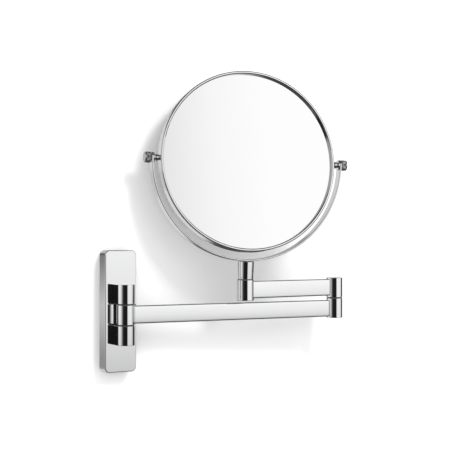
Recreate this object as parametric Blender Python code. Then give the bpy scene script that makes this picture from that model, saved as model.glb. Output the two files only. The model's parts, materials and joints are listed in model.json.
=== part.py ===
"""Extendable shaving mirror for a wall: a covered wall plate, a two-part folding
arm, a swivelling stem with a half-ring yoke, and a round mirror glazed on both
faces that tilts between two knurled knobs.

Frame: origin at the centre of the wall plate's back, on the wall. +X runs along
the wall to the right, +Y points into the wall and +Z is up. Metres.
"""

import math

import bmesh
import bpy
from mathutils import Matrix, Vector

# Fits between neighbouring pieces
SEAT_GAP = 0.0003
RUN_GAP = 0.0002

# Wall plate
PLATE_WIDTH = 0.035
PLATE_HEIGHT = 0.126
PLATE_DEPTH = 0.015
PLATE_CORNER_RADIUS = 0.0050
PLATE_EDGE_RADIUS = 0.0009
COVER_WALL = 0.0016
COVER_FRONT = 0.0025
BRACKET_WIDTH = 0.026
BRACKET_SHEET = 0.0016
BRACKET_LIP = 0.0090
BRACKET_HOLE_RADIUS = 0.0023
BRACKET_HOLE_SPACING = 0.088

# Hinges
HINGE_DROP = 0.003
HINGE_STANDOFF = 0.012
BARREL_RADIUS = 0.009
BARREL_CHAMFER = 0.0004
PIN_RADIUS = 0.004
WALL_BARREL_OVERHANG = 0.00085
BUSH_WALL = 0.0010
BUSH_LENGTH = 0.0080
BUSH_FLANGE = 0.0006
BUSH_FLANGE_INSET = 0.0005
KNUCKLE_HEIGHT = 0.020
KNUCKLE_ROOF = 0.0040
PLUG_THICKNESS = 0.0030

# Arms
LOWER_ARM_LENGTH = 0.250
UPPER_ARM_LENGTH = 0.1207
ARM_HEIGHT = 0.0185
ARM_THICKNESS = 0.006
ARM_EDGE_RADIUS = 0.0007
ARM_GAP = 0.0050
ELBOW_OVERHANG = 0.0039
TENON_RADIUS = 0.0022
TENON_WEB = 0.0006

# Retainers under the elbow and the stem
COUNTERBORE_RADIUS = 0.0066
COUNTERBORE_DEPTH = 0.0070
CAP_THICKNESS = 0.0014
WASHER_THICKNESS = 0.0010

# Screws: shank radius, head radius, head height, socket apothem
SMALL_SCREW = (0.0015, 0.0027, 0.0018, 0.0011)
LARGE_SCREW = (0.0020, 0.0035, 0.0020, 0.0014)
SMALL_SCREW_LENGTH = 0.0080
LARGE_SCREW_LENGTH = 0.0080
KNUCKLE_SCREW_SPACING = 0.010
COVER_SCREW_LENGTH = 0.0050
COVER_SCREW_SOCKET = 0.0011
COVER_SCREW_FROM_WALL = 0.0050
SOCKET_DEPTH = 0.0012

# Stem and yoke
STEM_RADIUS = 0.0086
STEM_HEIGHT = 0.0193
YOKE_THICKNESS = 0.0018
YOKE_WIDTH = 0.0116
YOKE_CLEARANCE = 0.0074
YOKE_SCREW_HEAD = 0.0013

# Mirror head
MIRROR_RADIUS = 0.097
HEAD_THICKNESS = 0.014
BEZEL_WIDTH = 0.0030
BEZEL_CAP = 0.0015
BEZEL_EDGE_RADIUS = 0.0005
RIM_WALL = 0.0013
GLASS_RECESS = 0.0035
GLASS_MIDDLE = 0.0011
BOARD_THICKNESS = 0.0006

# Tilt pivots
STUD_RADIUS = 0.0025
SPACER_RADIUS = 0.0036
PIVOT_WASHER_RADIUS = 0.0055
PIVOT_WASHER_THICKNESS = 0.0011
KNOB_RADIUS = 0.00575
KNOB_LENGTH = 0.0062
KNOB_NECK_RADIUS = 0.0043
KNOB_NECK_LENGTH = 0.0012
KNOB_END_WALL = 0.0020
KNOB_TEETH = 18
KNURL_DEPTH = 0.00025

# Pose at rest, in degrees about each vertical axis and the tilt axis. The stem
# leans within the play of its bush.
ARM_SWING = -4.0
ELBOW_FOLD = 187.0
STEM_TURN = -195.8
STEM_LEAN = 1.2
MIRROR_TILT = -5.8

# Facets round a full turn
BARREL_SIDES = 36
SMALL_SIDES = 18
HEAD_SIDES = 72

# Sizes that follow from the ones above
HINGE_Y = -(PLATE_DEPTH + HINGE_STANDOFF)
SEAM = RUN_GAP + BUSH_FLANGE + SEAT_GAP
WALL_BARREL_HEIGHT = ARM_HEIGHT + 2 * WALL_BARREL_OVERHANG
KNUCKLE_SPACING = WALL_BARREL_HEIGHT + 2 * SEAM
ARM_RISE = ARM_HEIGHT + ARM_GAP
ELBOW_HALF_HEIGHT = ARM_HEIGHT + ELBOW_OVERHANG
STEM_BARREL_HEIGHT = ELBOW_HALF_HEIGHT
SPLIT_Z = ARM_RISE / 2
STEM_SPLIT_Z = ARM_RISE + STEM_BARREL_HEIGHT / 2
BUSH_BORE = PIN_RADIUS + RUN_GAP
BUSH_RADIUS = BUSH_BORE + BUSH_WALL
BARREL_BORE = BUSH_RADIUS + SEAT_GAP
TENON_LENGTH = BARREL_RADIUS - BARREL_BORE - TENON_WEB
GLASS_THICKNESS = (HEAD_THICKNESS - BOARD_THICKNESS) / 2 - GLASS_RECESS - 2 * SEAT_GAP
GLASS_HOLLOW = GLASS_THICKNESS - GLASS_MIDDLE
YOKE_INNER = MIRROR_RADIUS + YOKE_CLEARANCE
YOKE_OUTER = YOKE_INNER + YOKE_THICKNESS
YOKE_BASE_Z = STEM_SPLIT_Z + STEM_HEIGHT + SEAT_GAP
PIVOT_Z = YOKE_BASE_Z + YOKE_OUTER
STUD_START = MIRROR_RADIUS - RIM_WALL + SEAT_GAP
KNOB_START = YOKE_OUTER + SEAT_GAP
KNOB_BORE_DEPTH = KNOB_NECK_LENGTH + KNOB_LENGTH - KNOB_END_WALL
STUD_END = KNOB_START + KNOB_BORE_DEPTH - SEAT_GAP

ROUND = "round"
HEX = "hex"
KNURL = "knurl"


def clear_scene():
    for old in list(bpy.data.objects):
        bpy.data.objects.remove(old, do_unlink=True)


def make_material(name, color, roughness, metallic):
    material = bpy.data.materials.new(name)
    material.use_nodes = True
    shader = material.node_tree.nodes["Principled BSDF"]
    shader.inputs["Base Color"].default_value = (*color, 1.0)
    shader.inputs["Roughness"].default_value = roughness
    shader.inputs["Metallic"].default_value = metallic
    material.diffuse_color = (*color, 1.0)
    return material


def frame(name, parent=None, location=(0, 0, 0), rotation=(0, 0, 0)):
    """An empty that carries the pieces of one moving group."""
    empty = bpy.data.objects.new(name, None)
    empty.empty_display_size = 0.02
    empty.parent = parent
    empty.location = location
    empty.rotation_euler = rotation
    bpy.context.collection.objects.link(empty)
    return empty


def mesh_from(bm, name, smooth_angle=32):
    bmesh.ops.remove_doubles(bm, verts=bm.verts, dist=1e-7)
    bmesh.ops.recalc_face_normals(bm, faces=bm.faces)
    mesh = bpy.data.meshes.new(name)
    bm.to_mesh(mesh)
    bm.free()
    mesh.shade_smooth()
    mesh.set_sharp_from_angle(angle=math.radians(smooth_angle))
    return mesh


def piece(name, mesh, color, parent, location=(0, 0, 0), rotation=(0, 0, 0)):
    """A sub-part in its own object, with its own material."""
    item = bpy.data.objects.new(name, mesh)
    item.parent = parent
    item.location = location
    item.rotation_euler = rotation
    if not mesh.materials:
        mesh.materials.append(None)
    item.material_slots[0].link = "OBJECT"
    item.material_slots[0].material = make_material(name, *color)
    bpy.context.collection.objects.link(item)
    return item


def boolean(target, tool, operation):
    tool.hide_render = True
    tool.display_type = "WIRE"
    modifier = target.modifiers.new(tool.name, "BOOLEAN")
    modifier.operation = operation
    modifier.solver = "EXACT"
    modifier.object = tool


def tool_object(name, bm, parent):
    mesh = mesh_from(bm, name)
    item = bpy.data.objects.new(name, mesh)
    item.parent = parent
    bpy.context.collection.objects.link(item)
    return item


def add_rod(bm, radius, start, end, sides=SMALL_SIDES):
    """A closed cylinder between two points."""
    start = Vector(start)
    end = Vector(end)
    along = end - start
    turn = along.to_track_quat("Z", "Y").to_matrix().to_4x4()
    place = Matrix.Translation((start + end) / 2) @ turn
    bmesh.ops.create_cone(
        bm,
        cap_ends=True,
        segments=sides,
        radius1=radius,
        radius2=radius,
        depth=along.length,
        matrix=place,
    )


def drill(target, holes, parent, sides=SMALL_SIDES):
    """Cut round holes, each given as (radius, start, end), from one piece."""
    bm = bmesh.new()
    for radius, start, end in holes:
        add_rod(bm, radius, start, end, sides)
    tool = tool_object(target.name + "_drill", bm, parent)
    boolean(target, tool, "DIFFERENCE")


def revolve(profile, sides):
    """Turn a closed outline of (radius, height) points about Z.

    A third entry makes that ring a hexagon or gives it knurled teeth.
    """
    bm = bmesh.new()
    rings = []
    for point in profile:
        radius, height = point[0], point[1]
        kind = point[2] if len(point) > 2 else ROUND
        if radius == 0:
            rings.append([bm.verts.new((0, 0, height))])
            continue
        ring = []
        for index in range(sides):
            angle = 2 * math.pi * index / sides
            reach = radius
            if kind == HEX:
                reach = radius / math.cos(angle % (math.pi / 3) - math.pi / 6)
            if kind == KNURL and index % 2:
                reach = radius - KNURL_DEPTH
            ring.append(bm.verts.new((reach * math.cos(angle), reach * math.sin(angle), height)))
        rings.append(ring)
    for first, second in zip(rings, rings[1:] + rings[:1]):
        if len(first) == 1 and len(second) == 1:
            continue
        for index in range(sides):
            after = (index + 1) % sides
            corners = []
            for ring, indices in ((first, (index, after)), (second, (after, index))):
                if len(ring) == 1:
                    corners.append(ring[0])
                else:
                    corners.extend(ring[i] for i in indices)
            bm.faces.new(corners)
    return bm


def chamfered_tube(radius, bore, low, high, chamfer):
    """Outline of a plain tube with chamfered outer corners."""
    return [
        (radius, low + chamfer),
        (radius, high - chamfer),
        (radius - chamfer, high),
        (bore, high),
        (bore, low),
        (radius - chamfer, low),
    ]


def chamfered_rod(radius, low, high, chamfer):
    """Outline of a solid rod with chamfered ends."""
    return [
        (0, low),
        (radius - chamfer, low),
        (radius, low + chamfer),
        (radius, high - chamfer),
        (radius - chamfer, high),
        (0, high),
    ]


def prism(outline, low, high, edge_radius=0.0, both_ends=True):
    """Extrude an (x, y) outline from z = low to z = high and round its rims."""
    bm = bmesh.new()
    corners = [bm.verts.new((x, y, low)) for x, y in outline]
    face = bm.faces.new(corners)
    extruded = bmesh.ops.extrude_face_region(bm, geom=[face])
    moved = [item for item in extruded["geom"] if isinstance(item, bmesh.types.BMVert)]
    bmesh.ops.translate(bm, verts=moved, vec=(0, 0, high - low))
    if edge_radius > 0:
        levels = (low, high) if both_ends else (high,)
        rims = [
            edge
            for edge in bm.edges
            if any(all(abs(v.co.z - level) < 1e-7 for v in edge.verts) for level in levels)
        ]
        bmesh.ops.bevel(
            bm,
            geom=rims,
            offset=edge_radius,
            offset_type="OFFSET",
            segments=2,
            profile=0.5,
            affect="EDGES",
        )
    return bm


def rounded_rectangle(width, height, radius, steps=6):
    points = []
    for corner in range(4):
        sign_x = 1 if corner in (0, 3) else -1
        sign_y = 1 if corner in (0, 1) else -1
        for step in range(steps + 1):
            angle = math.pi / 2 * (corner + step / steps)
            points.append(
                (
                    sign_x * (width / 2 - radius) + radius * math.cos(angle),
                    sign_y * (height / 2 - radius) + radius * math.sin(angle),
                )
            )
    return points


def screw_mesh(name, sizes, length):
    """Cap screw along Z: the head's underside is at z = 0, the shank below it."""
    shank, head, head_height, apothem = sizes
    chamfer = head_height / 8
    outline = [
        (0, -length),
        (shank - chamfer, -length),
        (shank, -length + chamfer),
        (shank, 0),
        (head, 0),
        (head, head_height - chamfer),
        (head - chamfer, head_height),
        (apothem, head_height, HEX),
        (apothem, head_height - SOCKET_DEPTH, HEX),
        (0, head_height - SOCKET_DEPTH),
    ]
    return mesh_from(revolve(outline, SMALL_SIDES), name)


def bush_mesh(name):
    """Flanged bush: flange from z = 0 up to its thickness, sleeve below."""
    outline = [
        (BUSH_RADIUS, -BUSH_LENGTH),
        (BUSH_RADIUS, 0),
        (BARREL_RADIUS - BUSH_FLANGE_INSET, 0),
        (BARREL_RADIUS - BUSH_FLANGE_INSET, BUSH_FLANGE),
        (BUSH_BORE, BUSH_FLANGE),
        (BUSH_BORE, -BUSH_LENGTH),
    ]
    return mesh_from(revolve(outline, BARREL_SIDES), name)


def bushed_barrel(low, high):
    """Barrel with a bush seat at the top and a counterbore underneath."""
    shoulder = low + COUNTERBORE_DEPTH
    seat = high - BUSH_LENGTH - SEAT_GAP
    return [
        (BARREL_RADIUS, low + BARREL_CHAMFER),
        (BARREL_RADIUS, high - BARREL_CHAMFER),
        (BARREL_RADIUS - BARREL_CHAMFER, high),
        (BARREL_BORE, high),
        (BARREL_BORE, seat),
        (PIN_RADIUS + SEAT_GAP, seat),
        (PIN_RADIUS + SEAT_GAP, shoulder),
        (COUNTERBORE_RADIUS, shoulder),
        (COUNTERBORE_RADIUS, low),
        (BARREL_RADIUS - BARREL_CHAMFER, low),
    ]


def retainer(prefix, low, fixed_frame, turning_frame, center=(0, 0)):
    """Washer and screw on a pin's lower end, and the cap that hides them."""
    shank = LARGE_SCREW[0]
    washer_top = low + COUNTERBORE_DEPTH - RUN_GAP
    washer_low = washer_top - WASHER_THICKNESS
    washer = mesh_from(
        revolve(
            [
                (COUNTERBORE_RADIUS - SEAT_GAP, washer_low),
                (COUNTERBORE_RADIUS - SEAT_GAP, washer_top),
                (shank + SEAT_GAP, washer_top),
                (shank + SEAT_GAP, washer_low),
            ],
            SMALL_SIDES,
        ),
        prefix + "_washer",
    )
    piece(prefix + "_washer", washer, STEEL, turning_frame)
    screw = screw_mesh(prefix + "_screw", LARGE_SCREW, LARGE_SCREW_LENGTH)
    piece(
        prefix + "_screw",
        screw,
        STEEL,
        turning_frame,
        location=(0, 0, washer_low - SEAT_GAP),
        rotation=(math.pi, 0, 0),
    )
    cap_rim = COUNTERBORE_RADIUS - SEAT_GAP
    cap = mesh_from(
        revolve(chamfered_rod(cap_rim, low, low + CAP_THICKNESS, BARREL_CHAMFER), BARREL_SIDES),
        prefix + "_cap",
    )
    piece(prefix + "_cap", cap, NYLON, fixed_frame, location=(*center, 0))


def pin_end_outline(low, radius, length):
    """Threaded hole in a pin's lower end, as the inner part of its outline."""
    hole = LARGE_SCREW[0] + SEAT_GAP
    return [(0, low + length), (hole, low + length), (hole, low), (radius, low)]


CHROME = ((0.80, 0.81, 0.82), 0.06, 1.0)
STEEL = ((0.55, 0.56, 0.58), 0.28, 1.0)
GALVANISED = ((0.48, 0.49, 0.50), 0.42, 1.0)
NYLON = ((0.04, 0.04, 0.045), 0.45, 0.0)
MIRROR = ((0.92, 0.93, 0.93), 0.02, 1.0)
BOARD = ((0.10, 0.10, 0.11), 0.70, 0.0)

clear_scene()

wall_frame = frame("wall_frame")
lower_frame = frame(
    "lower_arm_frame",
    wall_frame,
    (0, HINGE_Y, -HINGE_DROP),
    (0, 0, math.radians(ARM_SWING)),
)
upper_frame = frame(
    "upper_arm_frame",
    lower_frame,
    (LOWER_ARM_LENGTH, 0, 0),
    (0, 0, math.radians(ELBOW_FOLD)),
)
stem_bush_middle = STEM_SPLIT_Z - (SEAM + BUSH_LENGTH) / 2
stem_frame = frame(
    "stem_frame",
    upper_frame,
    (UPPER_ARM_LENGTH, 0, stem_bush_middle),
    (0, math.radians(STEM_LEAN), math.radians(STEM_TURN)),
)
yoke_frame = frame("yoke_frame", stem_frame, (0, 0, -stem_bush_middle))
head_frame = frame(
    "mirror_head_frame",
    yoke_frame,
    (0, 0, PIVOT_Z),
    (math.radians(MIRROR_TILT), 0, 0),
)
FACE_WALL = (math.pi / 2, 0, 0)

# --- Wall plate -------------------------------------------------------------

cover = piece(
    "wall_cover",
    mesh_from(
        prism(
            rounded_rectangle(PLATE_WIDTH, PLATE_HEIGHT, PLATE_CORNER_RADIUS),
            0,
            PLATE_DEPTH,
            PLATE_EDGE_RADIUS,
            both_ends=False,
        ),
        "wall_cover",
    ),
    CHROME,
    wall_frame,
    rotation=FACE_WALL,
)
inner_width = PLATE_WIDTH - 2 * COVER_WALL
inner_height = PLATE_HEIGHT - 2 * COVER_WALL
inner_depth = PLATE_DEPTH - COVER_FRONT
hollow = tool_object(
    "wall_cover_hollow",
    prism(
        rounded_rectangle(inner_width, inner_height, PLATE_CORNER_RADIUS - COVER_WALL),
        -COVER_WALL,
        inner_depth,
    ),
    wall_frame,
)
hollow.rotation_euler = FACE_WALL
boolean(cover, hollow, "DIFFERENCE")

bracket_height = inner_height - 2 * SEAT_GAP
top_z = bracket_height / 2
lip_outline = [
    (0, -top_z),
    (-BRACKET_LIP, -top_z),
    (-BRACKET_LIP, -top_z + BRACKET_SHEET),
    (-BRACKET_SHEET, -top_z + BRACKET_SHEET),
    (-BRACKET_SHEET, top_z - BRACKET_SHEET),
    (-BRACKET_LIP, top_z - BRACKET_SHEET),
    (-BRACKET_LIP, top_z),
    (0, top_z),
]
bracket = piece(
    "wall_bracket",
    mesh_from(prism(lip_outline, -BRACKET_WIDTH / 2, BRACKET_WIDTH / 2), "wall_bracket"),
    GALVANISED,
    wall_frame,
    rotation=(math.pi / 2, 0, math.pi / 2),
)
cover_screw_y = -COVER_SCREW_FROM_WALL
cover_hole = LARGE_SCREW[0] + SEAT_GAP
below_cover = -PLATE_HEIGHT / 2 - COVER_WALL
bracket_holes = [
    (
        BRACKET_HOLE_RADIUS,
        (0, BRACKET_SHEET, side * BRACKET_HOLE_SPACING / 2),
        (0, -2 * BRACKET_SHEET, side * BRACKET_HOLE_SPACING / 2),
    )
    for side in (-1, 1)
]
lip_hole_top = -top_z + 2 * BRACKET_SHEET
cover_screw_hole = (
    cover_hole,
    (0, cover_screw_y, below_cover),
    (0, cover_screw_y, lip_hole_top),
)
drill(bracket, bracket_holes + [cover_screw_hole], wall_frame)

knuckle_centers = {
    "upper": -HINGE_DROP + (KNUCKLE_SPACING + KNUCKLE_HEIGHT) / 2,
    "lower": -HINGE_DROP - (KNUCKLE_SPACING + KNUCKLE_HEIGHT) / 2,
}
screw_heights = {
    (level, index): center + (index - 1.5) * KNUCKLE_SCREW_SPACING
    for level, center in knuckle_centers.items()
    for index in (1, 2)
}
small_hole = SMALL_SCREW[0] + SEAT_GAP
cover_holes = [
    (small_hole, (0, -inner_depth + COVER_FRONT, z), (0, -PLATE_DEPTH - COVER_FRONT, z))
    for z in screw_heights.values()
]
drill(cover, cover_holes + [cover_screw_hole], wall_frame)

knuckle_back = -(PLATE_DEPTH + SEAT_GAP)
half_turn = [
    (
        BARREL_RADIUS * math.cos(math.pi * step / (BARREL_SIDES // 2)),
        HINGE_Y - BARREL_RADIUS * math.sin(math.pi * step / (BARREL_SIDES // 2)),
    )
    for step in range(BARREL_SIDES // 2 + 1)
]
block_outline = [(BARREL_RADIUS, knuckle_back)] + half_turn + [(-BARREL_RADIUS, knuckle_back)]
small_screw = screw_mesh("knuckle_screw", SMALL_SCREW, SMALL_SCREW_LENGTH)
screw_seat_y = -inner_depth + SEAT_GAP
hinge_axis = (0, HINGE_Y)
for level, center in knuckle_centers.items():
    low = center - KNUCKLE_HEIGHT / 2
    high = center + KNUCKLE_HEIGHT / 2
    knuckle = piece(
        "knuckle_" + level,
        mesh_from(prism(block_outline, low, high, BARREL_CHAMFER), "knuckle_" + level),
        CHROME,
        wall_frame,
    )
    if level == "upper":
        bore = ((*hinge_axis, low - KNUCKLE_ROOF), (*hinge_axis, high - KNUCKLE_ROOF))
    else:
        bore = ((*hinge_axis, low - KNUCKLE_ROOF), (*hinge_axis, high + KNUCKLE_ROOF))
    drill(knuckle, [(PIN_RADIUS + SEAT_GAP, *bore)], wall_frame, BARREL_SIDES)
    screw_tip_y = screw_seat_y - SMALL_SCREW_LENGTH
    bm = bmesh.new()
    for index in (1, 2):
        thread_z = screw_heights[level, index]
        add_rod(bm, small_hole, (0, 0, thread_z), (0, screw_tip_y - SEAT_GAP, thread_z))
    boolean(knuckle, tool_object(knuckle.name + "_threads", bm, wall_frame), "DIFFERENCE")
    for index in (1, 2):
        piece(
            "knuckle_{}_screw_{}".format(level, index),
            small_screw,
            STEEL,
            wall_frame,
            location=(0, screw_seat_y, screw_heights[level, index]),
            rotation=(-math.pi / 2, 0, 0),
        )

pin_top = knuckle_centers["upper"] + KNUCKLE_HEIGHT / 2 - KNUCKLE_ROOF - SEAT_GAP
plug_low = knuckle_centers["lower"] - KNUCKLE_HEIGHT / 2
pin_low = plug_low + PLUG_THICKNESS + SEAT_GAP
piece(
    "wall_hinge_pin",
    mesh_from(
        revolve(chamfered_rod(PIN_RADIUS, pin_low, pin_top, BARREL_CHAMFER), BARREL_SIDES),
        "wall_hinge_pin",
    ),
    STEEL,
    wall_frame,
    location=(*hinge_axis, 0),
)
piece(
    "wall_hinge_plug",
    mesh_from(
        revolve(
            chamfered_rod(PIN_RADIUS, plug_low, plug_low + PLUG_THICKNESS, BARREL_CHAMFER),
            BARREL_SIDES,
        ),
        "wall_hinge_plug",
    ),
    CHROME,
    wall_frame,
    location=(*hinge_axis, 0),
)
set_screw_radius = LARGE_SCREW[0]
piece(
    "cover_screw",
    mesh_from(
        revolve(
            [
                (0, COVER_SCREW_LENGTH),
                (set_screw_radius - SEAT_GAP, COVER_SCREW_LENGTH),
                (set_screw_radius, COVER_SCREW_LENGTH - SEAT_GAP),
                (set_screw_radius, SEAT_GAP),
                (set_screw_radius - SEAT_GAP, 0),
                (COVER_SCREW_SOCKET, 0, HEX),
                (COVER_SCREW_SOCKET, SOCKET_DEPTH, HEX),
                (0, SOCKET_DEPTH),
            ],
            SMALL_SIDES,
        ),
        "cover_screw",
    ),
    STEEL,
    wall_frame,
    location=(0, cover_screw_y, -PLATE_HEIGHT / 2),
)

# --- Lower arm --------------------------------------------------------------

bush = bush_mesh("bush")


def arm_bar(name, length, parent, center_z):
    """Flat bar between two barrels, coped to them, with a tenon at each end."""
    half = ARM_HEIGHT / 2
    section = rounded_rectangle(ARM_THICKNESS, ARM_HEIGHT, ARM_EDGE_RADIUS, steps=2)
    bar = piece(
        name,
        mesh_from(prism(section, 0, length), name),
        CHROME,
        parent,
        location=(0, 0, center_z),
        rotation=(math.pi / 2, 0, math.pi / 2),
    )
    reach = BARREL_RADIUS + SEAT_GAP
    copes = [
        (reach, (x, 0, center_z - 2 * half), (x, 0, center_z + 2 * half)) for x in (0, length)
    ]
    drill(bar, copes, parent, BARREL_SIDES)
    bm = bmesh.new()
    tip = reach - TENON_LENGTH
    add_rod(bm, TENON_RADIUS, (tip, 0, center_z), (BARREL_RADIUS * 2, 0, center_z))
    add_rod(
        bm,
        TENON_RADIUS,
        (length - BARREL_RADIUS * 2, 0, center_z),
        (length - tip, 0, center_z),
    )
    boolean(bar, tool_object(name + "_tenons", bm, parent), "UNION")
    return bar


def socket(barrel, parent, x, side, center_z):
    """Blind hole in a barrel's wall that takes a bar's tenon."""
    depth = BARREL_RADIUS - TENON_LENGTH
    drill(
        barrel,
        [
            (
                TENON_RADIUS + SEAT_GAP,
                (x + side * depth, 0, center_z),
                (x + side * 2 * BARREL_RADIUS, 0, center_z),
            )
        ],
        parent,
    )


arm_bar("lower_arm_bar", LOWER_ARM_LENGTH, lower_frame, 0)
half_barrel = WALL_BARREL_HEIGHT / 2
wall_barrel = piece(
    "wall_barrel",
    mesh_from(
        revolve(
            chamfered_tube(BARREL_RADIUS, BARREL_BORE, -half_barrel, half_barrel, BARREL_CHAMFER),
            BARREL_SIDES,
        ),
        "wall_barrel",
    ),
    CHROME,
    lower_frame,
)
socket(wall_barrel, lower_frame, 0, 1, 0)
for level, flip in (("upper", 0), ("lower", math.pi)):
    seat_z = half_barrel + SEAT_GAP
    piece(
        "wall_bush_" + level,
        bush,
        NYLON,
        lower_frame,
        location=(0, 0, -seat_z if flip else seat_z),
        rotation=(flip, 0, 0),
    )

elbow_low = SPLIT_Z - ELBOW_HALF_HEIGHT
elbow_high = SPLIT_Z - SEAM / 2
elbow_lower = piece(
    "elbow_lower_barrel",
    mesh_from(revolve(bushed_barrel(elbow_low, elbow_high), BARREL_SIDES), "elbow_lower_barrel"),
    CHROME,
    lower_frame,
    location=(LOWER_ARM_LENGTH, 0, 0),
)
socket(elbow_lower, lower_frame, LOWER_ARM_LENGTH, -1, 0)
piece(
    "elbow_bush",
    bush,
    NYLON,
    lower_frame,
    location=(LOWER_ARM_LENGTH, 0, elbow_high + SEAT_GAP),
)

# --- Upper arm --------------------------------------------------------------

arm_bar("upper_arm_bar", UPPER_ARM_LENGTH, upper_frame, ARM_RISE)
upper_low = SPLIT_Z + SEAM / 2
upper_high = SPLIT_Z + ELBOW_HALF_HEIGHT
roof_z = upper_high - KNUCKLE_ROOF
elbow_upper = piece(
    "elbow_upper_barrel",
    mesh_from(
        revolve(
            [
                (0, roof_z),
                (PIN_RADIUS + SEAT_GAP, roof_z),
                (PIN_RADIUS + SEAT_GAP, upper_low),
                (BARREL_RADIUS - BARREL_CHAMFER, upper_low),
                (BARREL_RADIUS, upper_low + BARREL_CHAMFER),
                (BARREL_RADIUS, upper_high - BARREL_CHAMFER),
                (BARREL_RADIUS - BARREL_CHAMFER, upper_high),
                (0, upper_high),
            ],
            BARREL_SIDES,
        ),
        "elbow_upper_barrel",
    ),
    CHROME,
    upper_frame,
)
socket(elbow_upper, upper_frame, 0, 1, ARM_RISE)
pin_foot = elbow_low + COUNTERBORE_DEPTH
thread_depth = LARGE_SCREW_LENGTH - WASHER_THICKNESS
pin_head = roof_z - SEAT_GAP
elbow_pin_outline = pin_end_outline(pin_foot, PIN_RADIUS, thread_depth) + [
    (PIN_RADIUS, pin_head),
    (0, pin_head),
]
piece(
    "elbow_pin",
    mesh_from(revolve(elbow_pin_outline, BARREL_SIDES), "elbow_pin"),
    STEEL,
    upper_frame,
)
retainer("elbow", elbow_low, lower_frame, upper_frame, (LOWER_ARM_LENGTH, 0))

stem_low = ARM_RISE - STEM_BARREL_HEIGHT / 2
stem_high = STEM_SPLIT_Z - SEAM / 2
stem_barrel = piece(
    "stem_barrel",
    mesh_from(revolve(bushed_barrel(stem_low, stem_high), BARREL_SIDES), "stem_barrel"),
    CHROME,
    upper_frame,
    location=(UPPER_ARM_LENGTH, 0, 0),
)
socket(stem_barrel, upper_frame, UPPER_ARM_LENGTH, -1, ARM_RISE)
piece(
    "stem_bush",
    bush,
    NYLON,
    upper_frame,
    location=(UPPER_ARM_LENGTH, 0, stem_high + SEAT_GAP),
)

# --- Stem and yoke ----------------------------------------------------------

journal_foot = stem_low + COUNTERBORE_DEPTH
stem_base = STEM_SPLIT_Z + SEAM / 2
stem_top = YOKE_BASE_Z + YOKE_THICKNESS
stem_outline = pin_end_outline(journal_foot, PIN_RADIUS, thread_depth) + [
    (PIN_RADIUS, stem_base),
    (STEM_RADIUS - BARREL_CHAMFER, stem_base),
    (STEM_RADIUS, stem_base + BARREL_CHAMFER),
    (STEM_RADIUS, stem_top),
    (0, stem_top),
]
stem = piece(
    "stem",
    mesh_from(revolve(stem_outline, BARREL_SIDES), "stem"),
    CHROME,
    yoke_frame,
)
saddle = bmesh.new()
add_rod(
    saddle,
    YOKE_OUTER + SEAT_GAP,
    (0, -2 * STEM_RADIUS, PIVOT_Z),
    (0, 2 * STEM_RADIUS, PIVOT_Z),
    2 * HEAD_SIDES,
)
boolean(stem, tool_object("stem_saddle", saddle, yoke_frame), "DIFFERENCE")
yoke_screw_z = YOKE_BASE_Z + YOKE_THICKNESS - SEAT_GAP
yoke_thread = LARGE_SCREW[0] + SEAT_GAP
thread_foot = yoke_screw_z - LARGE_SCREW_LENGTH - SEAT_GAP
through = (yoke_thread, (0, 0, thread_foot), (0, 0, PIVOT_Z - MIRROR_RADIUS))
drill(stem, [through], yoke_frame)
retainer("stem", stem_low, upper_frame, yoke_frame, (UPPER_ARM_LENGTH, 0))


def yoke_mesh():
    """Flat band bent to a half ring, its two ends rounded about the pivots."""
    bm = bmesh.new()
    half = YOKE_WIDTH / 2
    stations = []
    tips = 6
    for step in range(tips):
        rise = half * math.cos(math.pi / 2 * step / tips)
        width = max(half * math.sin(math.pi / 2 * step / tips), half / 8)
        stations.append((YOKE_INNER, YOKE_OUTER, math.pi, rise, width))
    arc_steps = HEAD_SIDES // 2
    for step in range(arc_steps + 1):
        angle = math.pi * (1 + step / arc_steps)
        stations.append((YOKE_INNER, YOKE_OUTER, angle, 0, half))
    for step in reversed(range(tips)):
        rise = half * math.cos(math.pi / 2 * step / tips)
        width = max(half * math.sin(math.pi / 2 * step / tips), half / 8)
        stations.append((YOKE_INNER, YOKE_OUTER, 2 * math.pi, rise, width))
    rings = []
    for inner, outer, angle, rise, width in stations:
        ring = []
        for radius, y in ((inner, -width), (outer, -width), (outer, width), (inner, width)):
            ring.append(
                bm.verts.new((radius * math.cos(angle), y, radius * math.sin(angle) + rise))
            )
        rings.append(ring)
    for first, second in zip(rings, rings[1:]):
        for index in range(4):
            after = (index + 1) % 4
            bm.faces.new((first[index], first[after], second[after], second[index]))
    bm.faces.new(rings[0])
    bm.faces.new(rings[-1])
    return mesh_from(bm, "yoke_band", 40)


yoke = piece("yoke_band", yoke_mesh(), CHROME, yoke_frame, location=(0, 0, PIVOT_Z))
stud_hole = STUD_RADIUS + SEAT_GAP
screw_shank, screw_head = LARGE_SCREW[0], LARGE_SCREW[1]
countersink_gap = SEAT_GAP * math.sqrt(2)
countersink = revolve(
    [
        (0, yoke_screw_z - YOKE_SCREW_HEAD),
        (screw_shank + countersink_gap, yoke_screw_z - YOKE_SCREW_HEAD),
        (screw_head + countersink_gap, yoke_screw_z),
        (screw_head + countersink_gap, yoke_screw_z + YOKE_THICKNESS),
        (0, yoke_screw_z + YOKE_THICKNESS),
    ],
    BARREL_SIDES,
)
boolean(yoke, tool_object("yoke_countersink", countersink, yoke_frame), "DIFFERENCE")
drill(
    yoke,
    [
        through,
        (stud_hole, (YOKE_INNER - YOKE_CLEARANCE, 0, PIVOT_Z), (YOKE_OUTER * 1.1, 0, PIVOT_Z)),
        (stud_hole, (-YOKE_OUTER * 1.1, 0, PIVOT_Z), (YOKE_CLEARANCE - YOKE_INNER, 0, PIVOT_Z)),
    ],
    yoke_frame,
)
tip_chamfer = SEAT_GAP
socket_apothem = LARGE_SCREW[3]
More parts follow.
